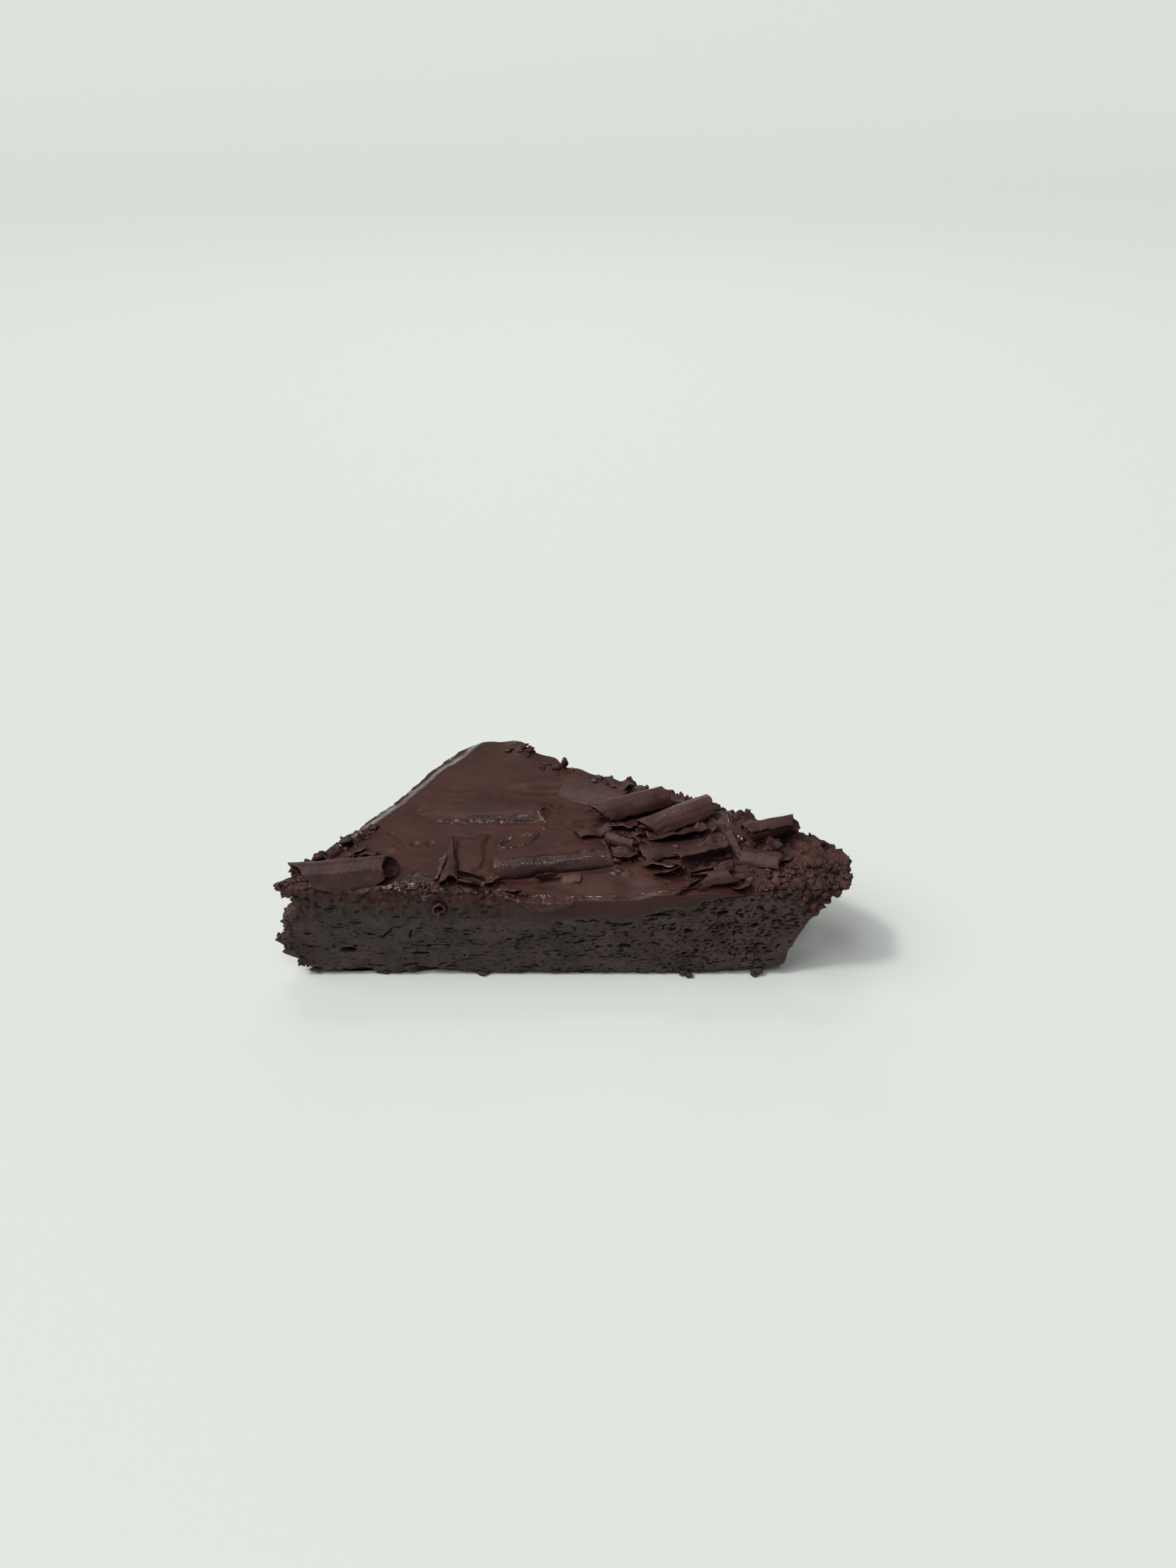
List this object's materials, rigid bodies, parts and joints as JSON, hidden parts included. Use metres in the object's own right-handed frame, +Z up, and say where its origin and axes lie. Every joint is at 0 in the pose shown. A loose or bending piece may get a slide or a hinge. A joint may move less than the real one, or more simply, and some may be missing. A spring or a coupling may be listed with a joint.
{
  "type": "brownie slice",
  "caption": "Triangular brownie slice with a dense sponge, one flared baked side, a glossy ganache layer and rolled chocolate curls on top.",
  "frame": {"origin": "on the flat underside, below the middle of the slice", "axes": "+Z up, +X along the long front cut towards the baked end, the front cut faces -Y"},
  "size_m": [0.125, 0.0594, 0.0323],
  "materials": {
    "sponge": "matte, porous crumb",
    "ganache": "soft gloss",
    "chocolate": "satin, finely grained"
  },
  "bodies": {
    "root": {"sponge": "sponge", "ganache": "ganache", "curl_front_left": "chocolate", "roll_middle": "chocolate", "roll_back": "chocolate", "cone_flake": "chocolate", "roll_back_right": "chocolate", "roll_rear": "chocolate", "flake_rear": "chocolate", "flake_right": "chocolate", "curl_small": "chocolate", "tube_right": "chocolate", "curl_rim": "chocolate", "flake_rim": "chocolate", "roll_front": "chocolate", "tube_front": "chocolate"}
  },
  "joints": []
}
